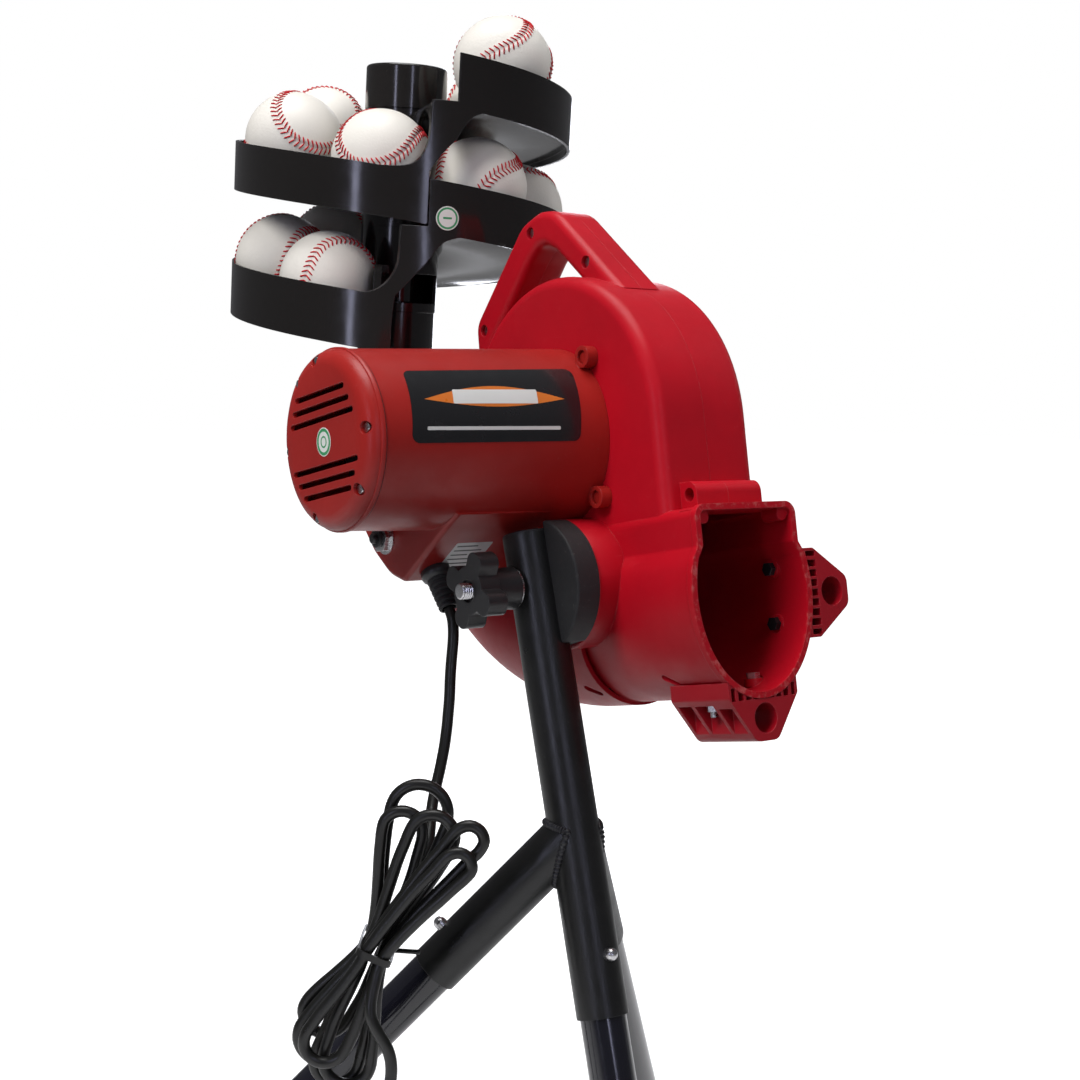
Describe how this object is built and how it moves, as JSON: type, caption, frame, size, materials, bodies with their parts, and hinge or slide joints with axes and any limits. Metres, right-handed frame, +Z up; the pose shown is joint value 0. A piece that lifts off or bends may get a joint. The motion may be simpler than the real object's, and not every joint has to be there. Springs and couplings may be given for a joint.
{
  "type": "ball pitching machine",
  "caption": "Tripod-mounted single-wheel ball thrower with tilting moulded head, side motor and a helical gravity ball feeder behind it.",
  "frame": {"origin": "on the floor, under the middle of the whole machine's box", "axes": "+Z up, the ball leaves towards -Y, the motor points to -X"},
  "size_m": [0.825, 0.6534, 1.0843],
  "materials": {
    "red_shell": "moulded, semi-matte, scuffed at the muzzle",
    "red_housing": "moulded, semi-matte",
    "steel_dark": "blackened steel",
    "magnet": "sintered ferrite",
    "bright_steel": "zinc plated",
    "copper": "laminated core with copper windings",
    "wheel_alloy": "cast and turned",
    "wheel_rubber": "grippy rubber",
    "rail_rubber": "moulded",
    "bracket_red": "moulded, semi-matte",
    "screw_black": "black oxide",
    "black_plastic": "moulded, satin",
    "black_rubber": "soft, dull",
    "cord_black": "smooth PVC jacket",
    "board_green": "solder resist",
    "brass_pin": "plain",
    "tube_black": "satin powder coat",
    "foot_rubber": "dull",
    "track_gloss": "glossy moulded",
    "gearmotor_grey": "grey paint",
    "ball_leather": "white, red stitched in the visual"
  },
  "bodies": {
    "stand": {"post_tube": "tube_black", "stub_left": "tube_black", "stub_right": "tube_black", "post_plug": "black_plastic", "leg_front": "tube_black", "foot_front": "foot_rubber", "leg_left": "tube_black", "foot_left": "foot_rubber", "leg_right": "tube_black", "foot_right": "foot_rubber", "snap_springs": "bright_steel", "saddle_pad": "black_rubber", "knob_washer": "bright_steel"},
    "head": {"shell_left": "red_shell", "shell_right": "red_shell", "motor_housing": "red_housing", "motor_cap": "red_housing", "motor_can": "steel_dark", "motor_plate": "steel_dark", "motor_magnets": "magnet", "motor_bearings": "bright_steel", "ball_rail": "rail_rubber", "rail_bolts": "bright_steel", "bracket_bottom": "bracket_red", "bracket_side": "bracket_red", "bracket_bolts": "screw_black", "handle_screws": "screw_black", "lug_screw": "screw_black", "housing_screws": "screw_black", "cap_screws": "screw_black", "breaker_body": "black_plastic", "breaker_nut": "bright_steel", "cord_gland": "black_plastic", "cord_boot": "black_rubber", "cord_inner": "cord_black", "control_board": "board_green", "trunnion_bolt": "bright_steel", "track_upper": "track_gloss", "track_lower": "track_gloss", "column_cap": "track_gloss", "feeder_base": "track_gloss", "column_base": "track_gloss", "feeder_gearmotor": "gearmotor_grey", "baseballs": "ball_leather"},
    "wheel": {"motor_shaft": "bright_steel", "armature": "copper", "wheel_hub": "wheel_alloy", "wheel_tyre": "wheel_rubber", "wheel_nut": "bright_steel"},
    "knob": {"star_knob": "black_plastic"},
    "breaker_button": {"breaker_button": "black_plastic"},
    "snap_front": {"snap_button_front": "bright_steel"},
    "snap_left": {"snap_button_left": "bright_steel"},
    "snap_right": {"snap_button_right": "bright_steel"},
    "gate": {"gate_arm": "track_gloss", "gate_shaft": "bright_steel"},
    "cord": {"power_cord": "cord_black", "cord_tie": "cord_black", "cord_plug": "cord_black", "plug_prongs": "brass_pin"}
  },
  "joints": [
    {"name": "head_tilt", "type": "hinge", "parent": "stand", "child": "head", "pos_m": [0.0805, -0.0974, 0.68847], "axis": [-1, 0, 0], "range_deg": [-15, 35]},
    {"name": "wheel_spin", "type": "hinge", "parent": "head", "child": "wheel", "pos_m": [0.0805, -0.05647, 0.77857], "axis": [1, 0, 0], "continuous": true},
    {"name": "knob_turn", "type": "hinge", "parent": "head", "child": "knob", "pos_m": [0.0805, -0.0974, 0.68847], "axis": [1, 0, 0], "continuous": true},
    {"name": "breaker_press", "type": "slide", "parent": "head", "child": "breaker_button", "axis": [1, 0, 0], "range_m": [0, 0.003]},
    {"name": "gate_swing", "type": "hinge", "parent": "head", "child": "gate", "pos_m": [0.07577, 0.20647, 0.785], "axis": [0, -0.0731, 0.9973], "range_deg": [0, 74]},
    {"name": "cord_hang", "type": "hinge", "parent": "head", "child": "cord", "pos_m": [-0.0395, -0.05985, 0.67295], "axis": [-1, 0, 0], "range_deg": [-35, 15]},
    {"name": "snap_front_press", "type": "slide", "parent": "stand", "child": "snap_front", "axis": [0, -0.9573, 0.2891], "range_m": [-0.0035, 0]},
    {"name": "snap_left_press", "type": "slide", "parent": "stand", "child": "snap_left", "axis": [-0.553, 0.4746, 0.6848], "range_m": [-0.0035, 0]},
    {"name": "snap_right_press", "type": "slide", "parent": "stand", "child": "snap_right", "axis": [0.553, 0.4746, 0.6848], "range_m": [-0.0035, 0]}
  ],
  "couplings": [
    {"joint": "cord_hang", "follows": "head_tilt", "ratio": -1}
  ]
}
